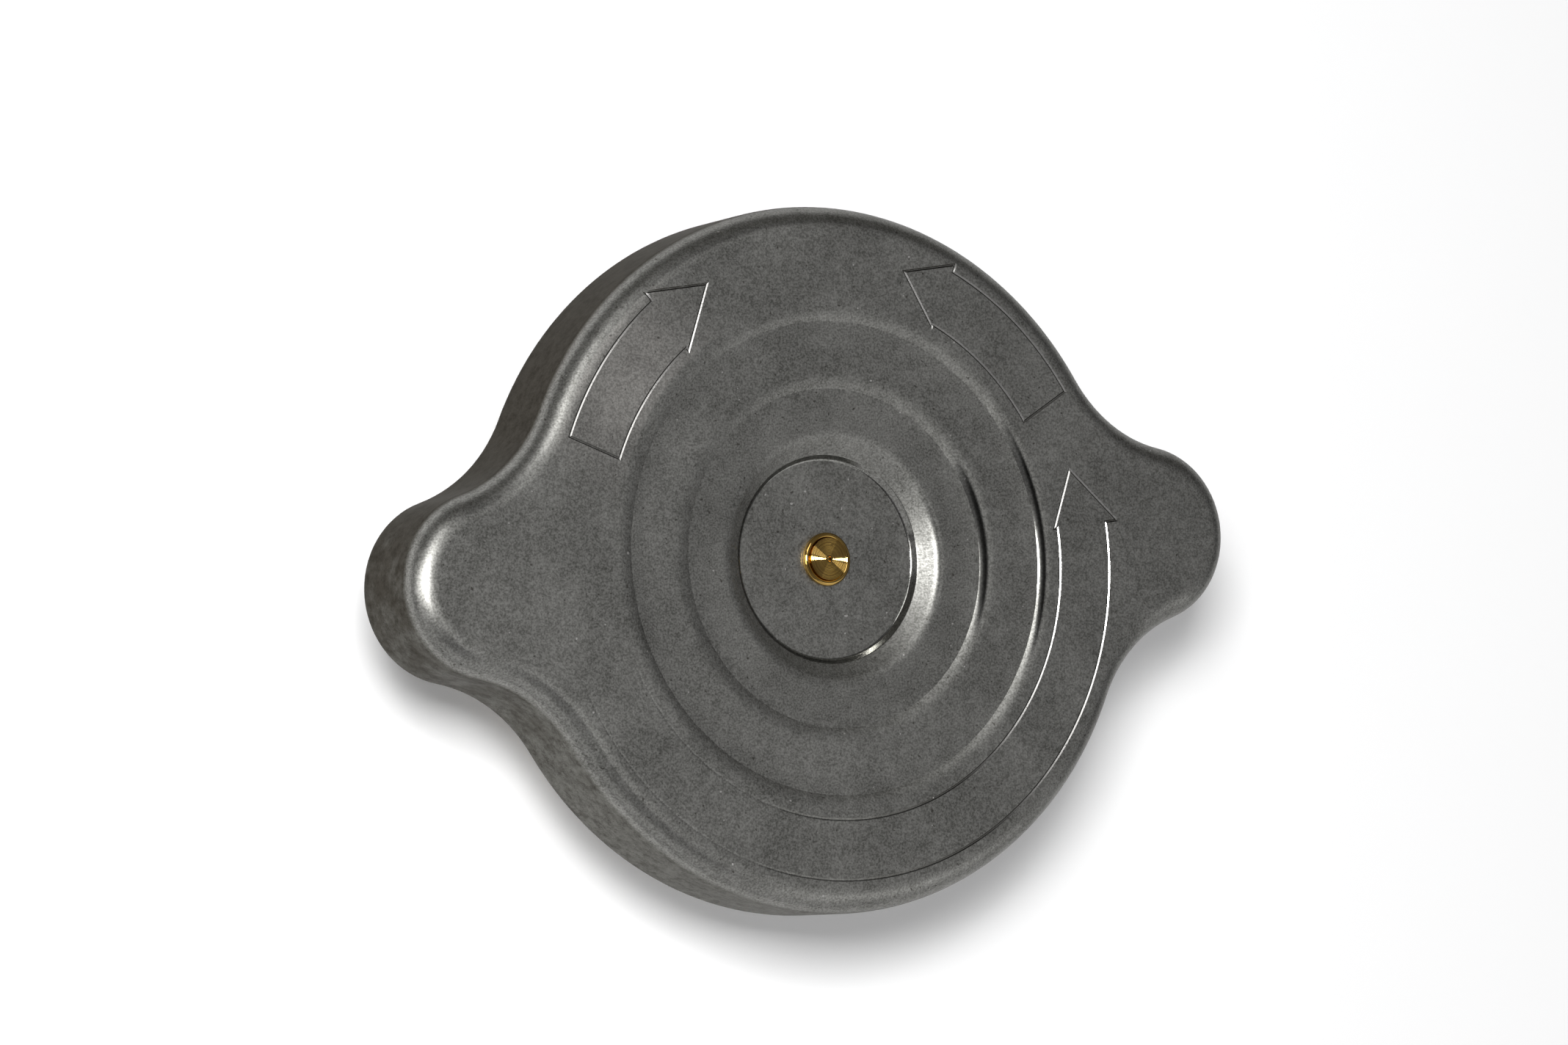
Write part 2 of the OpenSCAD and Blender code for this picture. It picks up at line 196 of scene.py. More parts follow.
satin = {
    "dark": (0.104, 0.103, 0.094, 1),
    "pale": (0.304, 0.302, 0.286, 1),
    "grainPerMm": 6.0,
    "blotchPerMm": 0.9,
    "cloudPerMm": 0.16,
    "mottlePerMm": 0.45,
    "roughness": 0.50,
    "bump": 0.35,
    "bumpMm": 0.012,
    "edgeTint": (0.62, 0.62, 0.62, 1),  # holds back the sheen at low angles
    "speck": (0.055, 0.050, 0.044, 1),
    "speckPerMm": 2.6,
    "glint": (0.480, 0.470, 0.455, 1),
    "glintPerMm": 2.2,
    "litPatchDark": (0.190, 0.184, 0.172, 1),  # painted highlight: paler patch beside one arrow
    "litPatchPale": (0.440, 0.428, 0.405, 1),
    "litPatchAt": (-18.2, 15.4),
    "litPatchReach": (11.0, 1.0),  # distances at which it begins and is full
    "litPatchRagged": 8,
    "wallTilt": (0.42, 0.08),  # a tilt is the upward part of the normal
    "wallShaded": (0.068, 0.062, 0.051, 1),  # painted shade, darker towards +Y
    "wallLit": (0.190, 0.188, 0.172, 1),  # painted reflection, paler towards -Y
    "wallShadeTurn": (8.0, -20.0),  # from the painted shade to the painted reflection, dark to pale, along Y
    "wallShadeRagged": 44,
    "wallStain": (0.018, 0.014, 0.009, 1),
    "stainPerMm": 1.1,
    "wallRough": 0.58,
    "rollTilt": (0.985, 0.93),
    "rollEnd": (0.1, 0.5),  # tilts at which the rolled edge goes over into the wall
    "rollRadius": 27.5,
    "rollRough": 0.35,
    "cutTilt": (0.96, 0.89),
    "cutLit": (0.400, 0.392, 0.380, 1),  # painted highlight on the stamped lines, on the side that faces -X
    "cutShaded": (0.040, 0.038, 0.034, 1),  # painted shade on their other sides
    "cutLitSide": (-0.15, -0.40),
    "cutRough": 0.30,
    "slopeTilt": (0.99, 0.95),  # slopes of the dish
    "streaks": 90.0,
    "drawnRough": 0.52,
    "burnishedRough": 0.13,  # where the slopes are rubbed bright
    "rubbedSide": (0.80, 0.97),  # towards +X
    "rubbedFull": (11.0, 12.5),  # radii from half to full
    "footRadius": 8.6,
    "brinkRadius": 9.75,
    "dishRadius": 20.9,
}


def satinSteel():
    material, start = newMaterial("satinSteel")
    place = coordsInMm(start)
    x, y, radius = fromAxis(place)
    normal = start.node("ShaderNodeNewGeometry", out="Normal")
    tilt = split(normal, 2)
    grain = noise(place, satin["grainPerMm"], 3.0, 0.65)
    blotch = noise(place, satin["blotchPerMm"], 3.0, 0.6)
    cloud = noise(place, satin["cloudPerMm"], 3.0, 0.6)
    mottle = noise(place, satin["mottlePerMm"], 4.0, 0.65)
    spokes = start.node("ShaderNodeCombineXYZ", None, {0: x / radius, 1: y / radius, 2: radius * 0.02})
    streak = noise(spokes, satin["streaks"], 2.0, 0.7)

    inDish = within(radius, satin["dishRadius"], 0.2)
    slope = span(tilt, *satin["slopeTilt"]) * inDish
    rolled = span(tilt, *satin["rollTilt"]) * span(tilt, *satin["rollEnd"]) * (1 - inDish)
    wall = span(tilt, *satin["wallTilt"]) * (1 - inDish)
    inBand = within(radius, satin["rollRadius"], 0.1) * (1 - inDish)
    cut = span(tilt, *satin["cutTilt"]) * inBand * span(grain, 0.25, 0.5)

    tone = span(grain, 0.33, 0.67) * 0.64 + span(blotch, 0.3, 0.7) * 0.18 + span(cloud, 0.3, 0.7) * 0.18
    colour = mixed(tone, satin["dark"], satin["pale"])
    # painted highlight: a paler patch beside one arrow
    fromLitPatch = start.node("ShaderNodeVectorMath", {"operation": "DISTANCE"},
                          {0: place, 1: (*satin["litPatchAt"], topZ)}, "Value")
    litPatch = span(fromLitPatch + (mottle - 0.5) * satin["litPatchRagged"], *satin["litPatchReach"])
    litPatch = litPatch * (1 - inDish) * (1 - rolled)
    colour = mixed(litPatch, colour, mixed(tone, satin["litPatchDark"], satin["litPatchPale"]))
    # painted shade and reflection: the wall is darker towards +Y and paler towards -Y; random stains lie over
    # it
    wallShadeShare = span(y + (mottle - 0.5) * satin["wallShadeRagged"], *satin["wallShadeTurn"])
    wallShading = mixed(wallShadeShare, satin["wallShaded"], satin["wallLit"])
    stain = span(noise(place, satin["stainPerMm"], 6.0, 0.78), 0.36, 0.74) * 0.65
    stain = stain + span(grain, 0.67, 0.33) * 0.25
    colour = mixed(wall, colour, mixed(stain, wallShading, satin["wallStain"]))
    # painted highlight and shade: the stamped lines are pale where they face -X and dark on their other sides
    litSide = span(split(normal, 0), *satin["cutLitSide"])
    colour = mixed(cut, colour, mixed(litSide, satin["cutShaded"], satin["cutLit"]))
    specks = span(noise(place, satin["speckPerMm"], 1.0), 0.72, 0.76) * 0.7
    colour = mixed(specks, colour, satin["speck"])
    glints = span(noise(place, satin["glintPerMm"], 0.0), 0.86, 0.88) * (1 - wall)
    colour = mixed(glints, colour, satin["glint"])

    rough = satin["roughness"] + (grain - 0.5) * 0.14 + (cloud - 0.5) * 0.10
    rough = rough + (satin["rollRough"] - rough) * rolled
    rough = rough + (satin["cutRough"] - rough) * cut
    rough = rough + (satin["wallRough"] - rough) * wall
    coined = within(radius, satin["footRadius"], 0.05)
    rubbed = span(x / radius, *satin["rubbedSide"])
    rubbed = rubbed * span(radius, satin["brinkRadius"] - 0.2, satin["brinkRadius"] + 0.2)
    rubbed = rubbed * (span(radius, *satin["rubbedFull"]) * 0.5 + 0.5)
    bright = coined + rubbed
    slopeRough = satin["drawnRough"] + (satin["burnishedRough"] - satin["drawnRough"]) * bright
    slopeRough = slopeRough + (streak - 0.5) * (1 - bright) * 0.35
    rough = rough + (slopeRough - rough) * slope

    height = grain * (1 - slope * (0.2 + bright * 0.75)) + streak * slope * (1 - bright) * 0.6
    relief = bumped(height, satin["bump"], satin["bumpMm"])
    principled(start, colour, rough, relief, edgeTint=satin["edgeTint"])
    return material


# zinc-plated pressings

zinc = {
    "dark": (0.330, 0.325, 0.305, 1),
    "pale": (0.560, 0.555, 0.530, 1),
    "tint": (0.500, 0.430, 0.270, 1),  # passivation
    "tintPerMm": 0.16,
    "crystalPerMm": 1.6,
    "cloudPerMm": 0.35,
    "grainPerMm": 9.0,
    "drawnPerMm": 5.0,  # upright drawing lines on walls
    "drawnStretch": (1.0, 1.0, 0.06),
    "roughness": 0.34,
}


def zincSteel():
    material, start = newMaterial("zincSteel")
    place = coordsInMm(start)
    crystal = start.node("ShaderNodeTexVoronoi", None, {
        "Vector": place, "Scale": zinc["crystalPerMm"], "Randomness": 1.0}, "Distance")
    cloud = noise(place, zinc["cloudPerMm"], 4.0, 0.6)
    grain = noise(place, zinc["grainPerMm"], 2.0, 0.6)
    drawn = noise(stretched(place, zinc["drawnStretch"]), zinc["drawnPerMm"], 2.0, 0.6)
    tone = span(cloud, 0.3, 0.7) * 0.45 + span(crystal, 0.0, 0.7) * 0.2 + drawn * 0.35
    colour = mixed(tone, zinc["dark"], zinc["pale"])
    colour = mixed(span(noise(place, zinc["tintPerMm"], 2.0), 0.45, 0.68) * 0.55, colour, zinc["tint"])
    rough = zinc["roughness"] + (cloud - 0.5) * 0.16 + (grain - 0.5) * 0.14
    principled(start, colour, rough, bumped(grain * 0.6 + drawn * 0.4, 0.25, 0.01))
    return material


# drawn and tempered spring wire and sheet

temper = {
    "dark": (0.110, 0.095, 0.085, 1),
    "pale": (0.330, 0.325, 0.320, 1),
    "cloudPerMm": 0.5,
    "grainPerMm": 8.0,
    "roughness": 0.30,
}


def springSteel():
    material, start = newMaterial("springSteel")
    place = coordsInMm(start)
    cloud = noise(place, temper["cloudPerMm"], 4.0, 0.65)
    grain = noise(place, temper["grainPerMm"], 2.0, 0.6)
    tone = span(cloud, 0.28, 0.66) * 0.75 + grain * 0.25
    colour = mixed(tone, temper["dark"], temper["pale"])
    rough = temper["roughness"] + (1 - tone) * 0.22 + (grain - 0.5) * 0.1
    principled(start, colour, rough, bumped(grain, 0.2, 0.01))
    return material


# turned and pressed brass

turned = {
    "dark": (0.270, 0.160, 0.045, 1),
    "pale": (0.600, 0.400, 0.120, 1),
    "tarnish": (0.140, 0.078, 0.026, 1),
    "ringsPerMm": 5.0,
    "cloudPerMm": 0.6,
    "grainPerMm": 11.0,
    "roughness": 0.16,
    "faced": 0.08,  # the rivet's head
    "headZ": 20.0,  # the head lies above this
}


def turnedBrass():
    material, start = newMaterial("turnedBrass")
    place = coordsInMm(start)
    radius = fromAxis(place)[2]
    rings = noise(start.node("ShaderNodeCombineXYZ", None, {0: radius, 2: split(place, 2)}),
                  turned["ringsPerMm"], 3.0, 0.6)
    cloud = noise(place, turned["cloudPerMm"], 3.0, 0.6)
    grain = noise(place, turned["grainPerMm"], 2.0, 0.6)
    tone = span(rings, 0.3, 0.7) * 0.6 + span(cloud, 0.3, 0.7) * 0.4
    colour = mixed(tone, turned["dark"], turned["pale"])
    colour = mixed(span(cloud * 0.6 + grain * 0.4, 0.55, 0.68) * 0.6, colour, turned["tarnish"])
    faced = span(split(place, 2), turned["headZ"] - 0.1, turned["headZ"] + 0.1)
    rough = turned["roughness"] + (rings - 0.5) * 0.16 + (grain - 0.5) * 0.12
    rough = rough + (turned["faced"] - rough) * faced
    principled(start, colour, rough, bumped(rings, 0.3, 0.012))
    return material


# moulded black rubber

seal = {
    "dark": (0.010, 0.010, 0.011, 1),
    "pale": (0.028, 0.028, 0.029, 1),
    "bloom": (0.075, 0.073, 0.070, 1),
    "grainPerMm": 6.0,
    "cloudPerMm": 0.4,
    "roughness": 0.62,
}


def blackRubber():
    material, start = newMaterial("blackRubber")
    place = coordsInMm(start)
    grain = noise(place, seal["grainPerMm"], 3.0, 0.6)
    cloud = noise(place, seal["cloudPerMm"], 4.0, 0.65)
    colour = mixed(grain, seal["dark"], seal["pale"])
    colour = mixed(span(cloud, 0.5, 0.75) * 0.5, colour, seal["bloom"])
    rough = seal["roughness"] + (cloud - 0.5) * 0.2
    principled(start, colour, rough, bumped(grain, 0.3, 0.02), metal=0.0)
    return material


steelLook = satinSteel()
zincLook = zincSteel()
springLook = springSteel()
brassLook = turnedBrass()
rubberLook = blackRubber()
print("materials made")


# mesh helpers

def meshObject(name, points, faces):
    mesh = bpy.data.meshes.new(name)
    mesh.from_pydata([Vector(point) * mm for point in points], [], faces)
    return addObject(name, mesh)


def weld(piece, sharpAngle=32):  # closes seams, turns faces outwards, keeps crisp edges
    work = bmesh.new()
    work.from_mesh(piece.data)
    bmesh.ops.remove_doubles(work, verts=work.verts, dist=0.0006 * mm)
    bmesh.ops.dissolve_degenerate(work, edges=work.edges, dist=0.0002 * mm)
    bmesh.ops.recalc_face_normals(work, faces=work.faces)
    work.to_mesh(piece.data)
    work.free()
    piece.data.shade_smooth()
    piece.data.set_sharp_from_angle(angle=math.radians(sharpAngle))


def settle(piece):  # turns the evaluated object into a plain mesh
    graph = bpy.context.evaluated_depsgraph_get()
    mesh = bpy.data.meshes.new_from_object(piece.evaluated_get(graph))
    piece.modifiers.clear()
    old = piece.data
    piece.data = mesh
    mesh.name = piece.name
    if not old.users:
        bpy.data.meshes.remove(old)


def roundCorners(corners, closed, turn=14):  # corners are (r, z, fillet); turn is the largest step in degrees
    path = []
    count = len(corners)
    for i, (r, z, fillet) in enumerate(corners):
        here = Vector((r, z))
        if not fillet or (not closed and i in (0, count - 1)):
            path.append(here)
            continue
        before = (Vector(corners[i - 1][:2]) - here).normalized()
        after = (Vector(corners[(i + 1) % count][:2]) - here).normalized()
        half = before.angle(after) / 2
        centre = here + (before + after).normalized() * (fillet / math.sin(half))
        first = here + before * (fillet / math.tan(half)) - centre
        sweep = math.pi - 2 * half
        if first.cross(before) > 0:
            sweep = -sweep
        steps = max(2, math.ceil(abs(math.degrees(sweep)) / turn))
        for k in range(steps + 1):
            a = sweep * k / steps
            path.append(centre + Vector((first.x * math.cos(a) - first.y * math.sin(a),
                                         first.x * math.sin(a) + first.y * math.cos(a))))
    return path


def holdFlats(path, closed, hold=0.06, longest=0.5):  # points near the ends of straight runs keep flats flat
    held = []
    count = len(path)
    for i, here in enumerate(path):
        held.append(here)
        if not closed and i == count - 1:
            break
        there = path[(i + 1) % count]
        if (there - here).length > longest:
            step = (there - here).normalized() * hold
            held += [here + step, there - step]
    return held


def bridge(first, loops, count):  # faces between loops of points that follow each other
    faces = []
    for low in range(first, first + (loops - 1) * count, count):
        for j in range(count):
            k = (j + 1) % count
            faces.append((low + j, low + k, low + count + k, low + count + j))
    return faces


def spin(name, path, steps=144):  # turns a closed section about the Z axis
    points = []
    for i in range(steps):
        a = 2 * math.pi * i / steps
        points += [(p.x * math.cos(a), p.x * math.sin(a), p.y) for p in path]
    count = len(path)
    faces = []
    for i in range(steps):
        for j in range(count):
            k = (j + 1) % count
            if path[j].x < 1e-6 and path[k].x < 1e-6:
                continue
            n = (i + 1) % steps
            faces.append((i * count + j, n * count + j, n * count + k, i * count + k))
    piece = meshObject(name, points, faces)
    weld(piece)
    return piece


def lathe(name, corners, steps=144):  # the same, from corners of which some are rounded
    return spin(name, holdFlats(roundCorners(corners, True), True), steps)


def addPiece(piece, body, node, material):
    piece.data.materials.clear()
    piece.data.materials.append(material)
    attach(piece, body)
    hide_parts(node)
    print("made", piece.name, len(piece.data.polygons), "faces")


# cover: one pressed sheet with two wings, a stepped dish and a turned hem

coverLow, coverHigh = nodeBox("cover")
cover = {
    "bodyR": coverHigh.y,
    "tipR": 7.5,
    "blendR": 12.6,
    "sheet": 0.8,
    "edgeR": 2.2,
    "hemR": 1.2,
    "hemW": 1.9,
    "topZ": coverHigh.z,
    "hemZ": coverLow.z,
    "tipSteps": 16,
    "blendSteps": 14,
    "bodySteps": 34,
    "disc": [  # radius, depth below the top face, fillet
        (1.55, 2.5, 0),
        (8.20, 2.5, 0.30), (8.56, 2.02, 0.15),  # coined foot around the disc
        (10.10, 0.9, 1.6), (11.6, 0.9, 0),
    ],
    "steps": [(13.9, 0.9, 1.5, 2.3), (19.4, 0.45, 1.42, 2.6)],  # foot radius, depth, width, curve
    "stepH": 0.45,
    "approachW": 1.9,  # the ring below curls up to the foot
    "approachH": 0.09,
    "approachShares": (0, 0.15, 0.3, 0.45, 0.6, 0.75, 0.88, 0.97, 1),
    "stepRows": 14,
    "stepCrowding": 1.5,  # rows lie closer at the foot
    "bandR": 20.85,  # where the stamped band begins
    "rollAngles": (0, 2, 8, 15, 22, 29),
    "rollInBand": 36,  # degrees of the rolled edge that belong to the stamped band
    "bendSteps": 9,
    "hemSteps": 6,
    "hemEdge": 0.08,
    "hold": 0.1,
    "sharpAngle": 18,  # keeps the edges of the stamped lines
}
arrows = {
    "halfWidth": 0.12,
    "floorHalf": 0.015,
    "depth": 0.075,
    "hold": 0.045,
    "stepMm": 0.6,
    "outlines": [  # angles in degrees, inner and outer radii, depth at the tail and at the tip as a share
        {"tail": 27.8, "shoulder": 59.4, "tip": 69.3, "tipR": 24.7,
         "shaft": (21.6, 26.55), "barbs": (21.42, 27.27), "depth": (1.0, 1.0)},
        {"tail": 155.0, "shoulder": 125.4, "tip": 114.0, "tipR": 25.0,
         "shaft": (21.8, 26.55), "barbs": (21.5, 27.5), "depth": (0.6, 0.95)},
        {"tail": -159.5, "shoulder": 2.7, "tip": 14.1, "tipR": 23.9,
         "shaft": (21.4, 26.3), "barbs": (21.12, 27.5), "depth": (0.22, 1.1)},
    ],
}


def dishPath(size):  # radius and depth of the top side, from the hole to the stamped band
    path = roundCorners(size["disc"], False, 6)
    curl = size["approachH"]
    rows = size["stepRows"]
    for footR, depth, width, curve in size["steps"]:
        for share in size["approachShares"]:
            path.append(Vector((footR - size["approachW"] * (1 - share), depth - curl * share ** 2)))
        for i in range(1, rows + 1):
            share = (i / rows) ** size["stepCrowding"]
            rise = (size["stepH"] - curl) * (1 - (1 - share) ** curve)
            path.append(Vector((footR + width * share, depth - curl - rise)))
    return holdFlats(path + [Vector((size["bandR"], 0))], False)


def polar(r, degrees):
    a = math.radians(degrees)
    return Vector((r * math.cos(a), r * math.sin(a)))


def coverOutline(size):  # points of the outline, each with its outward normal
    bodyR, tipR, blendR = size["bodyR"], size["tipR"], size["blendR"]
    reach = coverHigh.x - tipR
    toBody, toTip = bodyR + blendR, tipR + blendR
    blendX = (toBody ** 2 - toTip ** 2 + reach ** 2) / (2 * reach)
    blendY = math.sqrt(toBody ** 2 - blendX ** 2)
    bodyEnd = math.degrees(math.atan2(blendY, blendX))
    tipEnd = math.degrees(math.atan2(blendY, blendX - reach))
    arcs = [
        (Vector((reach, 0)), tipR, 0, tipEnd, size["tipSteps"], 1),
        (Vector((blendX, blendY)), blendR, 180 + tipEnd, 180 + bodyEnd, size["blendSteps"], -1),
        (Vector((0, 0)), bodyR, bodyEnd, 90, size["bodySteps"], 1),
    ]
    quarter = []
    for centre, r, start, stop, steps, side in arcs:
        for i in range(steps):
            out = polar(1, start + (stop - start) * i / steps)
            quarter.append((centre + out * r, out * side))
    quarter.append((Vector((0, bodyR)), Vector((0, 1))))
    last = len(quarter) - 1
    outline = []
    for signX, signY, order in ((1, 1, range(last)), (-1, 1, range(last, 0, -1)),
                                (-1, -1, range(last)), (1, -1, range(last, 0, -1))):
        for i in order:
            outline.append(tuple(Vector((v.x * signX, v.y * signY)) for v in quarter[i]))
    return outline


def arrowPath(arrow):  # closed outline of one arrow, along the arcs of its shaft
    tail, shoulder = arrow["tail"], arrow["shoulder"]
    (shaftIn, shaftOut), (barbIn, barbOut) = arrow["shaft"], arrow["barbs"]
    steps = math.ceil(abs(math.radians(shoulder - tail)) * shaftOut / arrows["stepMm"])
    angles = [tail + (shoulder - tail) * i / steps for i in range(steps + 1)]
    path = [polar(shaftOut, a) for a in angles]
    path += [polar(barbOut, shoulder), polar(arrow["tipR"], arrow["tip"]), polar(barbIn, shoulder)]
    return path + [polar(shaftIn, a) for a in reversed(angles)]


def besidePath(path, distance):  # the closed path moved sideways, with mitred corners
    moved = []
    count = len(path)
    for i, here in enumerate(path):
        before = (here - path[i - 1]).normalized()
        after = (path[(i + 1) % count] - here).normalized()
        sides = Vector((before.y, -before.x)), Vector((after.y, -after.x))
        moved.append(here + (sides[0] + sides[1]) * (distance / (1 + sides[0].dot(sides[1]))))
    return moved


def gapTo(point, first, last):  # from a point to the straight line between two others
    along = intersect_point_line(point, first, last)[1]
    return (point - first.lerp(last, min(max(along, 0), 1))).length


def grooveDepth(arrow, point):
    tail, tip = arrow["tail"], arrow["tip"]
    turn = math.degrees(math.atan2(point.y, point.x)) - tail
    along = min(max(((turn + 180) % 360 - 180) / (tip - tail), 0), 1)
    return arrows["depth"] * (arrow["depth"][0] + (arrow["depth"][1] - arrow["depth"][0]) * along)


def sunkBetween(point, lines):  # depth of the stamped lines at a point that isn't one of their corners
    wall = arrows["halfWidth"] - arrows["floorHalf"]
    depths = []
    for arrow, first, last in lines:
        share = (arrows["halfWidth"] - gapTo(point, first, last)) / wall
        depths.append(min(max(share, 0), 1) * grooveDepth(arrow, point))
    return max(depths)


def rollDrop(point, size, outline):  # how far the rolled edge lies below the top face
    if point.length < size["bodyR"] - size["edgeR"]:
        return 0
    inset = min(gapTo(point, outline[i - 1][0], outline[i][0]) for i in range(len(outline)))
    into = max(size["edgeR"] - inset, 0)
    return size["edgeR"] - math.sqrt(size["edgeR"] ** 2 - into ** 2)


def stampedBand(size, outline, innerRing):  # top face between dish and rolled edge, with the arrows sunk in
    flat = []
    heights = []
    edges = []

    def addLoop(points, drops):
        first = len(flat)
        flat.extend(points)
        heights.extend(-drop for drop in drops)
        edges.extend((first + i, first + (i + 1) % len(points)) for i in range(len(points)))

    addLoop([Vector(point[:2]) for point in innerRing], [0] * len(innerRing))
    for angle in (*size["rollAngles"], size["rollInBand"]):
        inset = size["edgeR"] * (1 - math.sin(math.radians(angle)))
        drop = size["edgeR"] * (1 - math.cos(math.radians(angle)))
        addLoop([p - n * inset for p, n in outline], [drop] * len(outline))
    rings = len(flat)
    barbLines = []  # those that reach the rolled edge
    for arrow in arrows["outlines"]:
        path = arrowPath(arrow)
        for first, last in zip([path[-1]] + path, path):
            if max(first.length, last.length) > size["bodyR"] - size["edgeR"]:
                barbLines.append((arrow, first, last))
        half, floorHalf, hold = arrows["halfWidth"], arrows["floorHalf"], arrows["hold"]
        for aside, sunk in ((-half - hold, 0), (-half, 0), (-floorHalf, 1), (floorHalf, 1), (half, 0),
                            (half + hold, 0)):
            loop = besidePath(path, aside)
            addLoop(loop, [rollDrop(p, size, outline) + sunk * grooveDepth(arrow, p) for p in loop])
    spots, _, faces, origins, _, _ = delaunay_2d_cdt(flat, edges, [], 1, 1e-6)
    points = []
    for spot, origin in zip(spots, origins):
        ring = [i for i in origin if i < rings]
        if origin and not ring:
            points.append((spot.x, spot.y, heights[origin[0]]))
            continue
        height = heights[ring[0]] if ring else -rollDrop(spot, size, outline)
        points.append((spot.x, spot.y, height - sunkBetween(spot, barbLines)))
    innerR = min(Vector(point[:2]).length for point in innerRing)
    kept = [face for face in faces
            if sum((spots[i] for i in face), Vector((0, 0))).length / len(face) > innerR]
    return points, kept


def buildCover(size):
    outline = coverOutline(size)
    around = len(outline)
    skirt = size["topZ"] - size["hemZ"]
    edgeR, hemR, sheet = size["edgeR"], size["hemR"], size["sheet"]

    def roundRing(r, z):
        ways = [(p - n * edgeR).normalized() for p, n in outline]
        return [(way.x * r, way.y * r, z) for way in ways]

    def edgeRing(out, z):
        return [(p.x + n.x * out, p.y + n.y * out, z) for p, n in outline]

    def bend(centre, r, start, stop, steps):
        angles = [math.radians(start + (stop - start) * i / steps) for i in range(steps + 1)]
        return [(centre[0] + r * math.cos(a), centre[1] + r * math.sin(a)) for a in angles]

    dish = dishPath(size)
    topRings = [roundRing(p.x, -p.y) for p in dish]
    edgeCentre = (-edgeR, -edgeR)
    hemCentre = (-hemR, hemR - skirt)
    hemW, hemEdge = size["hemW"], size["hemEdge"]
    section = bend(edgeCentre, edgeR, 90 - size["rollInBand"], 0, size["bendSteps"])
    section += [(0, -edgeR - size["hold"]), (0, hemR - skirt + size["hold"])]
    section += bend(hemCentre, hemR, 0, -90, size["bendSteps"])
    section += [(hemEdge - hemW, -skirt), (-hemW, hemEdge - skirt)]
    section += [(-hemW, sheet - skirt - hemEdge), (hemEdge - hemW, sheet - skirt)]
    section += bend(hemCentre, hemR - sheet, -90, 0, size["hemSteps"])
    section += bend(edgeCentre, edgeR - sheet, 0, 90, size["bendSteps"])
    lowerRings = [edgeRing(out, z) for out, z in section]
    lowerRings += [roundRing(p.x, -p.y - sheet) for p in reversed(dish[::4])]
    points = []
    faces = []

    def addRings(rings):
        first = len(points)
        for ring in rings:
            points.extend(ring)
        faces.extend(bridge(first, len(rings), around))

    addRings(topRings)
    addRings(lowerRings + topRings[:1])
    bandPoints, bandFaces = stampedBand(size, outline, topRings[-1])
    faces.extend(tuple(i + len(points) for i in face) for face in bandFaces)
    points.extend(bandPoints)
    piece = meshObject("coverSheet", [(px, py, pz + size["topZ"]) for px, py, pz in points], faces)
    weld(piece, size["sharpAngle"])
    return piece


addPiece(buildCover(cover), "cap", "cover", steelLook)


# geometry node trees

def newTree(name, inputs):
    tree = bpy.data.node_groups.new(name, "GeometryNodeTree")
    ids = {}
    for key, kind in [("Geometry", "Geometry"), *inputs]:
        ids[key] = tree.interface.new_socket(key, in_out="INPUT", socket_type="NodeSocket" + kind).identifier
    tree.interface.new_socket("Geometry", in_out="OUTPUT", socket_type="NodeSocketGeometry")
    start = Sock(tree)
    group = tree.nodes.new("NodeGroupInput")
    given = {key: Sock(tree, group.outputs[key]) for key in ids}
    return tree, ids, start, given


def endTree(shape, material):
    real = shape.node("GeometryNodeRealizeInstances", None, {0: shape})
    done = real.node("GeometryNodeSetMaterial", None, {"Geometry": real, "Material": material})
    done.node("NodeGroupOutput", None, {0: done})


def runTree(piece, tree, ids, values):
    modifier = piece.modifiers.new(tree.name, "NODES")
    modifier.node_group = tree
    for key, value in values.items():
        modifier[ids[key]] = value
    settle(piece)
    return piece


def coilTree():  # a round wire wound up from z = 0, with its first and last turn closed
    tree, ids, start, given = newTree("coil", [
        ("Mean radius", "Float"), ("Wire radius", "Float"), ("Turns", "Float"), ("Rise", "Float"),
        ("Closed rise", "Float"), ("Steps per turn", "Int"), ("Sides", "Int"), ("Material", "Material")])
    turns, closed = given["Turns"], given["Closed rise"]
    count = turns * given["Steps per turn"] + 1
    line = start.node("GeometryNodeMeshLine", None, {"Count": count, "Offset": (0, 0, mm)})
    along = start.node("GeometryNodeInputIndex") / given["Steps per turn"]
    opened = (given["Rise"] - closed * 2) / (turns - 2)
    lift = along.math("MINIMUM", along, 1.0) * closed
    lift = lift + along.math("MINIMUM", along.math("MAXIMUM", along - 1, 0.0), turns - 2) * opened
    lift = lift + along.math("MAXIMUM", along - turns + 1, 0.0) * closed
    angle = along * (2 * math.pi)
    spot = start.node("ShaderNodeCombineXYZ", None, {
        0: angle.math("COSINE", angle) * given["Mean radius"],
        1: angle.math("SINE", angle) * given["Mean radius"], 2: lift})
    wound = start.node("GeometryNodeSetPosition", None, {"Geometry": line, "Position": spot})
    curve = start.node("GeometryNodeMeshToCurve", None, {0: wound})
    ring = start.node("GeometryNodeCurvePrimitiveCircle", None, {
        "Resolution": given["Sides"], "Radius": given["Wire radius"]})
    wire = start.node("GeometryNodeCurveToMesh", None, {
        "Curve": curve, "Profile Curve": ring, "Fill Caps": True})
    endTree(start.node("GeometryNodeSetShadeSmooth", None, {"Geometry": wire}), given["Material"])
    return tree, ids


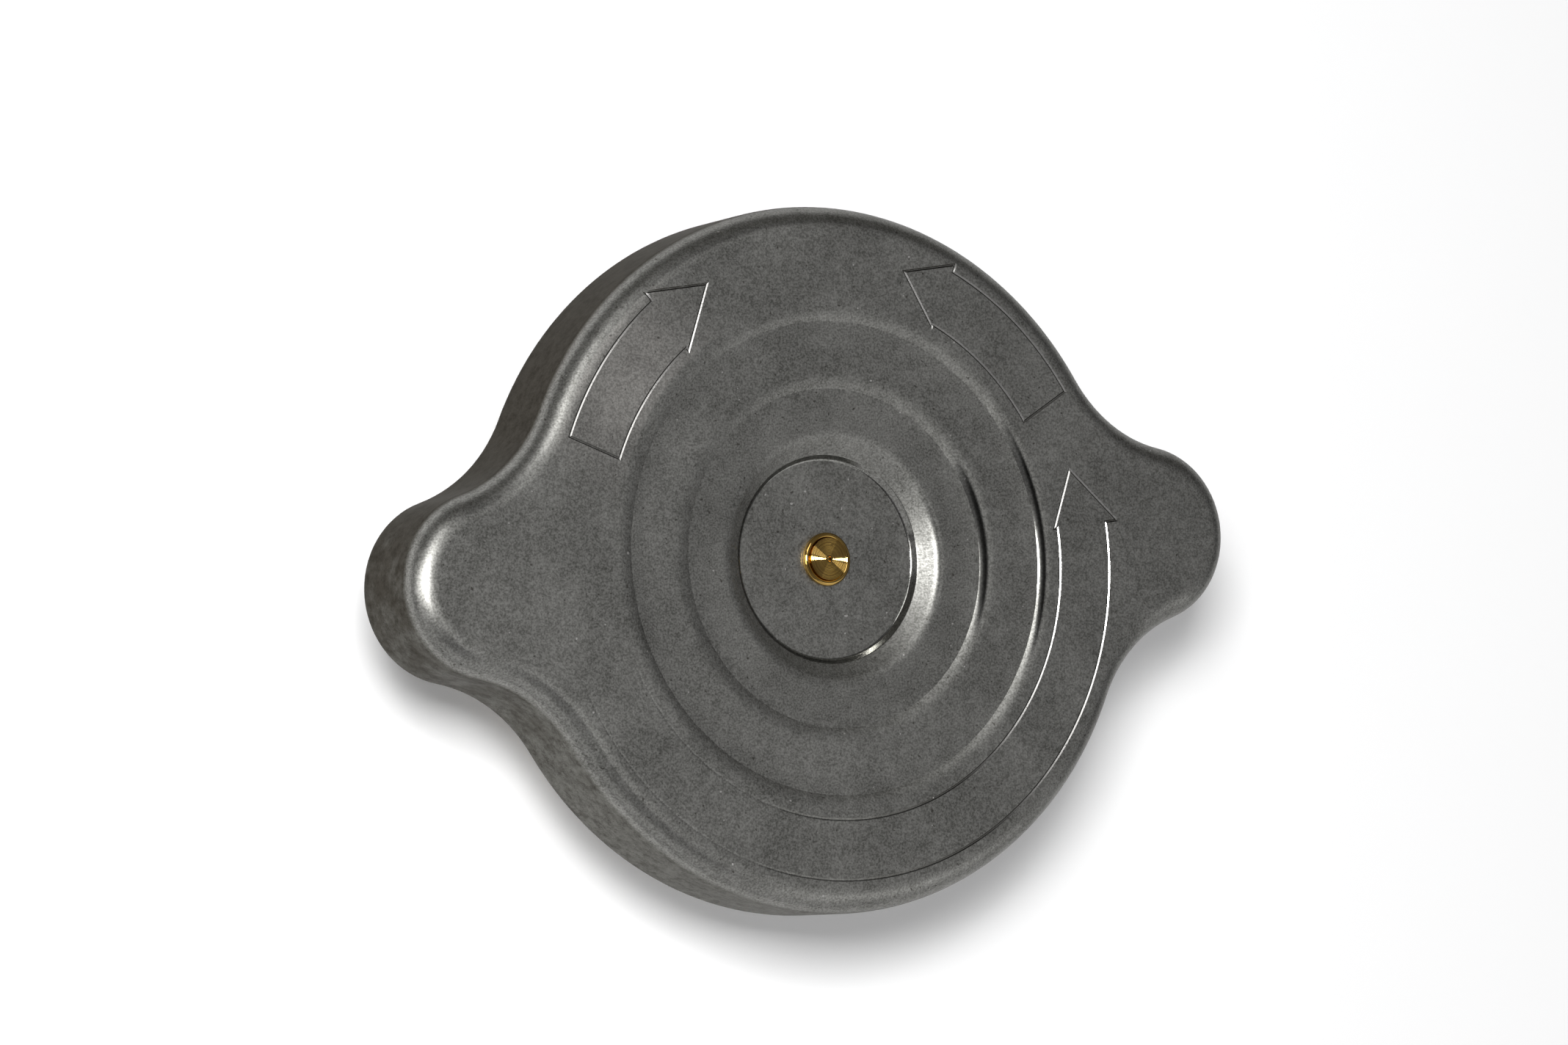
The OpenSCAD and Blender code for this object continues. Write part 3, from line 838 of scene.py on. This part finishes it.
def aroundTree(name, operation):  # cuts out or adds copies of a tool, set evenly around the axis
    tree, ids, start, given = newTree(name, [
        ("Tool", "Object"), ("Count", "Int"), ("First angle", "Float"), ("Material", "Material")])
    tool = start.node("GeometryNodeObjectInfo", {"transform_space": "ORIGINAL"},
                      {"Object": given["Tool"]}, "Geometry")
    spots = start.node("GeometryNodePoints", None, {"Count": given["Count"]})
    angle = given["First angle"] + start.node("GeometryNodeInputIndex") * (2 * math.pi) / given["Count"]
    turnTo = start.node("ShaderNodeCombineXYZ", None, {2: angle})
    copies = start.node("GeometryNodeInstanceOnPoints", None, {
        "Points": spots, "Instance": tool, "Rotation": turnTo})
    solid = start.node("GeometryNodeRealizeInstances", None, {0: copies})
    if operation == "DIFFERENCE":
        shape = start.node("GeometryNodeMeshBoolean", {"operation": operation, "solver": "EXACT"},
                           {0: given["Geometry"], 1: solid})
    else:
        both = start.node("GeometryNodeJoinGeometry", None, {0: solid})
        start.tree.links.new(given["Geometry"].socket, both.socket.node.inputs[0])
        shape = start.node("GeometryNodeMeshBoolean", {"operation": operation, "solver": "EXACT"},
                           {1: both, "Self Intersection": True})
    endTree(shape, given["Material"])
    return tree, ids


coil = coilTree()
cutAround = aroundTree("cutAround", "DIFFERENCE")
addAround = aroundTree("addAround", "UNION")


def workAround(piece, tools, tool, count, first, material):
    runTree(piece, *tools, {
        "Tool": tool, "Count": count, "First angle": math.radians(first), "Material": material})
    bpy.data.objects.remove(tool)
    weld(piece)
    return piece


def toolObject(name, work):
    mesh = bpy.data.meshes.new(name)
    work.to_mesh(mesh)
    work.free()
    return addObject(name, mesh)


def roundedTool(name, low, high, bevel, axis):  # a box with the edges along one axis rounded
    work = bmesh.new()
    bmesh.ops.create_cube(work, size=1)
    middle = (Vector(low) + Vector(high)) / 2
    extent = Vector(high) - Vector(low)
    for vert in work.verts:
        vert.co = Vector((vert.co[i] * extent[i] + middle[i] for i in range(3))) * mm
    along = [edge for edge in work.edges
             if abs((edge.verts[0].co - edge.verts[1].co)[axis]) > 0.5 * extent[axis] * mm]
    bmesh.ops.bevel(work, geom=along, offset=bevel * mm, segments=6, profile=0.5, affect="EDGES")
    return toolObject(name, work)


def drill(name, r, centreR, low, high):  # a round tool that stands at centreR on the X axis
    work = bmesh.new()
    middle = Vector((centreR, 0, (low + high) / 2))
    bmesh.ops.create_cone(work, cap_ends=True, segments=40, radius1=r * mm, radius2=r * mm,
                          depth=(high - low) * mm, matrix=Matrix.Translation(middle * mm))
    return toolObject(name, work)


# locking ring: a flat plate with a drawn wall and two cammed tangs

ringLow, ringHigh = nodeBox("locking_ring")
lockingRing = {
    "holeR": 1.55,
    "wallR": ringHigh.x,
    "sheet": 0.8,
    "bendR": 2.0,
    "tangReach": 3.0,
    "tangAngle": 44,
    "stopAngle": 4,
    "rampAngle": 2,
    "stopH": 0.6,
    "rampSteps": 4,
    "restSteps": 24,
    "edge": 0.14,
}


def buildTang(size):  # swept from its stop on, along the ring's wall
    inner = size["wallR"] - size["sheet"] - size["tangReach"]
    root = size["wallR"] - size["sheet"] / 2
    low = ringLow.z
    start = 90 - size["tangAngle"] / 2
    steps = [0, size["stopAngle"] / 2, size["stopAngle"]]
    ramp, flat = size["rampSteps"], size["restSteps"]
    steps += [size["stopAngle"] + size["rampAngle"] * i / ramp for i in range(1, ramp + 1)]
    rest = size["tangAngle"] - steps[-1]
    steps += [steps[-1] + rest * i / flat for i in range(1, flat + 1)]
    edge = size["edge"]
    points = []
    for step in steps:
        share = min(max((step - size["stopAngle"]) / size["rampAngle"], 0), 1)
        high = low + size["sheet"] + size["stopH"] * (1 - share * share * (3 - 2 * share))
        corners = [(inner, low, edge), (root, low, 0), (root, high, 0), (inner, high, edge)]
        loop = roundCorners(corners, True, 22)
        a = math.radians(start + step)
        points += [(p.x * math.cos(a), p.x * math.sin(a), p.y) for p in loop]
    count = len(points) // len(steps)
    faces = [tuple(range(count)), tuple(range(len(points) - count, len(points)))]
    tang = meshObject("tangTool", points, faces + bridge(0, len(steps), count))
    weld(tang)
    bevel = tang.modifiers.new("bevel", "BEVEL")
    bevel.width = edge * mm
    bevel.segments = 3
    bevel.limit_method = "ANGLE"
    bevel.angle_limit = math.radians(60)
    settle(tang)
    return tang


def buildLockingRing(size):
    inner = size["wallR"] - size["sheet"]
    plateLow = ringHigh.z - size["sheet"]
    ring = lathe("lockingRing", [
        (size["holeR"], plateLow, 0), (inner, plateLow, size["bendR"] - size["sheet"]),
        (inner, ringLow.z, size["edge"]), (size["wallR"], ringLow.z, size["edge"]),
        (size["wallR"], ringHigh.z, size["bendR"]), (size["holeR"], ringHigh.z, 0)])
    return workAround(ring, addAround, buildTang(size), 2, 0, zincLook)


addPiece(buildLockingRing(lockingRing), "cap", "locking_ring", zincLook)


# rivet with a turned face

rivetLow, rivetHigh = nodeBox("rivet")
rivet = {
    "headR": 2.2,
    "headH": 0.6,
    "chamfer": 0.2,
    "rimW": 0.36,  # rounded edge of the head
    "rimH": 0.28,
    "faceInset": 0.12,  # from the rim to the first turning mark
    "shankR": 1.5,
    "tailR": rivetHigh.x,
    "tailH": 0.8,
    "dotR": 0.2,
    "dotDepth": 0.2,
    "ringPitch": 0.11,  # turning marks on the face
    "ringWidth": 0.036,
    "ringDepth": 0.0115,
}


def buildRivet(size):
    low, high = rivetLow.z, rivetHigh.z
    seat = high - size["headH"]
    tailTop = low + size["tailH"]
    chamfer = size["chamfer"]
    section = roundCorners([
        (0, low, 0), (size["tailR"] - chamfer, low, 0.12), (size["tailR"], low + chamfer, 0.12),
        (size["tailR"], tailTop, 0.08), (size["shankR"], tailTop, 0), (size["shankR"], seat, 0),
        (size["headR"], seat, 0.05), (size["headR"], high - size["rimH"], 0.16),
        (size["headR"] - size["rimW"], high, 0.22)], True, 8)
    section = [p for p in section if p.x > 0 or p.y == low]
    faceR = size["headR"] - size["rimW"] - size["faceInset"]
    marks = math.floor((faceR - size["dotR"]) / size["ringPitch"])
    for i in range(marks):
        r = faceR - size["ringPitch"] * i
        for share, sunk in ((0, 0), (0.25, 0.5), (0.5, 1), (0.75, 0.5), (1, 0)):
            section.append(Vector((r - size["ringWidth"] * share, high - size["ringDepth"] * sunk)))
    section += [Vector((size["dotR"], high)), Vector((size["dotR"] * 0.8, high - size["dotDepth"])),
                Vector((0, high - size["dotDepth"] * 1.2))]
    return spin("rivet", section, 96)


addPiece(buildRivet(rivet), "cap", "rivet", brassLook)


# flat rings: two washers on the rivet, diaphragm and upper seal of the plunger

flatRings = [  # piece, hole radius, edge, body, node, slot, look
    ("swivelWasher", 1.55, 0.08, "cap", "swivel_washer", "zinc_steel", zincLook),
    ("rivetWasher", 1.55, 0.1, "cap", "rivet_washer", "zinc_steel", zincLook),
    ("diaphragm", 1.58, 0.06, "plunger", "diaphragm", "spring_steel", springLook),
    ("upperSeal", 14.25, 0.22, "plunger", "upper_seal", "rubber", rubberLook),
]


def buildWasher(name, node, holeR, edge):
    low, high = nodeBox(node)
    return lathe(name, [
        (holeR, low.z, edge), (high.x, low.z, edge), (high.x, high.z, edge), (holeR, high.z, edge)])


for name, holeR, edge, body, node, slot, look in flatRings:
    addPiece(buildWasher(name, node, holeR, edge), body, node, look)


# rest of the plunger: windowed bell and main spring

bellLow, bellHigh = nodeBox("spring_bell")
springBell = {
    "holeR": 1.58,
    "wallR": bellHigh.x,
    "sheet": 0.7,
    "bendR": 1.4,
    "lipW": 1.9,
    "lipBend": 0.75,
    "edge": 0.15,
    "windows": 4,
    "windowAngle": 46,
    "windowLow": 12.2,
    "windowHigh": 17.8,
    "windowCorner": 1.0,
}


def buildBell(size):
    wallR, sheet, edge, low, high = size["wallR"], size["sheet"], size["edge"], bellLow.z, bellHigh.z
    lipR = wallR - size["lipW"]
    bell = lathe("springBell", [
        (size["holeR"], high - sheet, 0), (wallR - sheet, high - sheet, size["bendR"] - sheet),
        (wallR - sheet, low + sheet, edge), (lipR, low + sheet, edge), (lipR, low, edge),
        (wallR, low, size["lipBend"]), (wallR, high, size["bendR"]), (size["holeR"], high, 0)])
    half = (wallR - sheet / 2) * math.sin(math.radians(size["windowAngle"] / 2))
    tool = roundedTool("windowTool", (wallR - 2, -half, size["windowLow"]),
                       (wallR + 2, half, size["windowHigh"]), size["windowCorner"], 0)
    return workAround(bell, cutAround, tool, size["windows"], 0, zincLook)


addPiece(buildBell(springBell), "plunger", "spring_bell", zincLook)

mainSpring = {
    "meanR": 10.2,
    "wireD": 1.6,
    "turns": 6.5,
    "closedPitch": 1.06,
    "stepsPerTurn": 56,
    "sides": 20,
    "travel": 3.5,
    "seat": 19.9,  # underside of the bell's roof
}
vacuumSpring = {
    "meanR": 2.5,
    "wireD": 0.45,
    "turns": 5.0,
    "closedPitch": 1.06,
    "stepsPerTurn": 44,
    "sides": 14,
    "travel": 2.0,
    "seat": 3.8,  # floor of the guide cup
}


def buildSpring(name, node, size):
    low, high = nodeBox(node)
    wireD = size["wireD"]
    spring = meshObject(name, [], [])
    runTree(spring, *coil, {
        "Mean radius": size["meanR"] * mm, "Wire radius": wireD / 2 * mm, "Turns": size["turns"],
        "Rise": (high.z - low.z - wireD) * mm, "Closed rise": wireD * size["closedPitch"] * mm,
        "Steps per turn": size["stepsPerTurn"], "Sides": size["sides"], "Material": springLook})
    spring.data.transform(Matrix.Translation((0, 0, (low.z + wireD / 2) * mm)))
    weld(spring)
    return spring


def squashSpring(spring):
    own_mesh(spring)


spring = buildSpring("mainSpring", "main_spring", mainSpring)
addPiece(spring, "plunger", "main_spring", springLook)
squashSpring(spring)


# pressure valve: guide cup, plate, lower seal and its crimped brass retainer

cupLow, cupHigh = nodeBox("guide_cup")
guideCup = {
    "holeR": 1.28,
    "wallR": 12.0,
    "sheet": 0.6,
    "bendR": 1.2,
    "ventR": 0.75,
    "vents": 4,
    "ventCircleR": 3.2,
    "plateEdge": 0.1,  # of the valve plate, which has the same holes
}


def cutVents(piece, size, low, high):
    tool = drill("ventTool", size["ventR"], size["ventCircleR"], low - 1, high + 1)
    return workAround(piece, cutAround, tool, size["vents"], 180 / size["vents"], zincLook)


def buildGuideCup(size):
    wallR, sheet, low, high = size["wallR"], size["sheet"], cupLow.z, cupHigh.z
    cup = lathe("guideCup", [
        (size["holeR"], low, 0.05), (wallR, low, size["bendR"]), (wallR, high - sheet, 0.2),
        (cupHigh.x, high - sheet, 0.12), (cupHigh.x, high, 0.12), (wallR - sheet, high, 0.4),
        (wallR - sheet, low + sheet, size["bendR"] - sheet), (size["holeR"], low + sheet, 0.05)])
    return cutVents(cup, size, low, low + sheet)


def buildValvePlate(size):
    low, high = nodeBox("valve_plate")
    plate = buildWasher("valvePlate", "valve_plate", size["holeR"], size["plateEdge"])
    return cutVents(plate, size, low.z, high.z)


addPiece(buildGuideCup(guideCup), "pressure_valve", "guide_cup", zincLook)
addPiece(buildValvePlate(guideCup), "pressure_valve", "valve_plate", zincLook)

sealLow, sealHigh = nodeBox("lower_seal")
lowerSeal = {
    "holeR": 4.5,
    "seatZ": 1.2,
    "recessR": 9.2,
    "faceR": 16.8,
    "shoulderZ": 1.25,
    "edge": 0.22,
}


def buildLowerSeal(size):
    edge, holeR, recessR, faceR = size["edge"], size["holeR"], size["recessR"], size["faceR"]
    return lathe("lowerSeal", [
        (holeR, size["seatZ"], edge), (recessR, size["seatZ"], 0.12), (recessR, sealLow.z, edge),
        (faceR, sealLow.z, edge), (faceR, size["shoulderZ"], 0), (sealHigh.x, size["shoulderZ"], 0.1),
        (sealHigh.x, sealHigh.z, 0.05), (holeR, sealHigh.z, edge)])


retainerLow, retainerHigh = nodeBox("seal_retainer")
sealRetainer = {
    "sheet": 0.6,
    "lipW": 1.4,
    "bendR": 0.65,
}


def buildRetainer(size):
    low, high, outer, sheet = retainerLow.z, retainerHigh.z, retainerHigh.x, size["sheet"]
    lipR = outer - size["lipW"]
    return lathe("sealRetainer", [
        (lipR, low, 0.2), (outer, low, size["bendR"]), (outer, high, size["bendR"]), (lipR, high, 0.2),
        (lipR, high - sheet, 0.08), (outer - sheet, high - sheet, 0.05), (outer - sheet, low + sheet, 0.05),
        (lipR, low + sheet, 0.08)])


addPiece(buildLowerSeal(lowerSeal), "pressure_valve", "lower_seal", rubberLook)
addPiece(buildRetainer(sealRetainer), "pressure_valve", "seal_retainer", brassLook)


# vacuum valve: disc and stem in one, its spring and the spring's cap

valveLow, valveHigh = nodeBox("vacuum_valve")
vacuumValve = {
    "discT": 0.8,
    "stemR": 1.2,
    "headR": 1.8,
    "headH": 0.5,
    "grooveR": 3.3,  # turned groove and centre mark on the underside
    "grooveDepth": 0.14,
    "grooveTop": 0.2,  # half widths
    "grooveFloor": 0.1,
    "dimpleR": 0.55,
}


def buildVacuumValve(size):
    low, high = valveLow.z, valveHigh.z
    discTop = low + size["discT"]
    headLow = high - size["headH"]
    discR, stemR, headR, grooveR = valveHigh.x, size["stemR"], size["headR"], size["grooveR"]
    top, floor, sunk = size["grooveTop"], size["grooveFloor"], low + size["grooveDepth"]
    section = roundCorners([
        (0, low + size["dimpleR"] / 2, 0), (size["dimpleR"], low, 0.06), (grooveR - top, low, 0.05),
        (grooveR - floor, sunk, 0.03), (grooveR + floor, sunk, 0.03), (grooveR + top, low, 0.05),
        (discR, low, 0.2), (discR, discTop, 0.15), (stemR, discTop, 0.15), (stemR, headLow, 0),
        (headR, headLow, 0.08), (headR, high, 0.25), (0, high, 0)], True)
    return spin("vacuumValve", holdFlats(section, True))


springCap = {
    "holeR": 1.25,
    "sheet": 0.4,
}


def buildSpringCap(size):
    low, high = nodeBox("vacuum_spring_cap")
    holeR, sheet = size["holeR"], size["sheet"]
    roof = high.z - sheet
    return lathe("vacuumSpringCap", [
        (holeR, roof, 0), (high.x - sheet, roof, 0.12), (high.x - sheet, low.z, 0.1), (high.x, low.z, 0.1),
        (high.x, high.z, 0.35), (holeR, high.z, 0.08)], 96)


addPiece(buildVacuumValve(vacuumValve), "vacuum_valve", "vacuum_valve", brassLook)
addPiece(buildSpringCap(springCap), "vacuum_valve", "vacuum_spring_cap", brassLook)
spring = buildSpring("vacuumSpring", "vacuum_spring", vacuumSpring)
addPiece(spring, "pressure_valve", "vacuum_spring", springLook)
squashSpring(spring)


# pale floor, soft lamps and world

studio = {
    "floorSize": 4.0,  # metres
    "floorColour": (0.93, 0.93, 0.93, 1),
    "floorLift": 0.10,
    "sky": (0.205, 0.205, 0.21, 1),
    "zenith": (0.02, 0.02, 0.02, 1),
    "zenithFrom": (0.945, 0.985),  # upward part of the direction
    "darkSide": (0.16, 0.157, 0.147, 1),  # low, towards +Y
    "darkTowards": (0.10, 0.70),
    "darkBelow": (0.75, 0.45),
    "lamps": [  # name, place in metres, size, radiance, also lights the floor
        ("flashLamp", (-0.267, 0.072, 0.462), (0.10, 0.10), 88.0, True),
        ("lowGlow", (-0.44, 0.05, 0.34), (0.25, 0.25), 4.0, False),
        ("backGlow", (-0.17, 0.27, 0.47), (0.25, 0.25), 3.2, False),
        ("leftCard", (-0.74, -0.67, 0.38), (1.0, 0.5), 0.6, False),
        ("sideCard", (0.35, -0.9, 0.42), (1.9, 0.7), 0.62, True),
        ("highCard", (0.42, -0.46, 0.64), (0.5, 0.5), 0.8, True),
    ],
}


def addFloor(size):
    half = size["floorSize"] / 2
    corners = [(-half, -half, 0), (half, -half, 0), (half, half, 0), (-half, half, 0)]
    floor = bpy.data.meshes.new("floor")
    floor.from_pydata(corners, [], [(0, 1, 2, 3)])
    made = addObject("floor", floor)
    material, start = newMaterial("paleFloor")
    ray = start.node("ShaderNodeLightPath", out="Is Camera Ray")
    glossy = Sock(start.tree, ray.socket.node.outputs["Is Glossy Ray"])
    through = Sock(start.tree, ray.socket.node.outputs["Is Transmission Ray"])
    seen = ray.math("MINIMUM", ray + glossy + through, 1.0)
    paint = start.node("ShaderNodeBsdfDiffuse", None, {"Color": size["floorColour"]})
    glow = start.node("ShaderNodeEmission", None, {"Strength": seen * size["floorLift"]})
    top = start.node("ShaderNodeAddShader", None, {0: paint, 1: glow})
    clear = start.node("ShaderNodeBsdfTransparent")
    under = start.node("ShaderNodeNewGeometry", out="Backfacing")
    both = start.node("ShaderNodeMixShader", None, {0: under, 1: top, 2: clear})
    start.node("ShaderNodeOutputMaterial", None, {"Surface": both})
    floor.materials.append(material)


def addLamp(name, spot, size, radiance, lightsFloor):
    data = bpy.data.lights.new(name, "AREA")
    data.shape = "RECTANGLE"
    data.size, data.size_y = size
    data.energy = radiance * math.pi * size[0] * size[1]
    lamp = addObject(name, data)
    lamp.location = spot
    aim = Vector((0, 0, topZ * mm)) - Vector(spot)
    lamp.rotation_mode = "QUATERNION"
    lamp.rotation_quaternion = aim.to_track_quat("-Z", "Y")
    lamp.visible_diffuse = lightsFloor
    lamp.visible_camera = False


def addWorld(size):
    world = bpy.data.worlds.new("studio")
    world.use_nodes = True
    world.node_tree.nodes.clear()
    start = Sock(world.node_tree)
    way = start.node("ShaderNodeTexCoord", out="Generated")
    height = split(way, 2)
    colour = mixed(span(height, *size["zenithFrom"]), size["sky"], size["zenith"])
    dark = span(split(way, 1), *size["darkTowards"]) * span(height, *size["darkBelow"])
    colour = mixed(dark, colour, size["darkSide"])
    back = start.node("ShaderNodeBackground", None, {"Color": colour, "Strength": 1.0})
    start.node("ShaderNodeOutputWorld", None, {"Surface": back})
    bpy.context.scene.world = world


addFloor(studio)
for lamp in studio["lamps"]:
    addLamp(*lamp)
addWorld(studio)
bpy.context.scene.view_settings.view_transform = "Standard"
print("studio set")
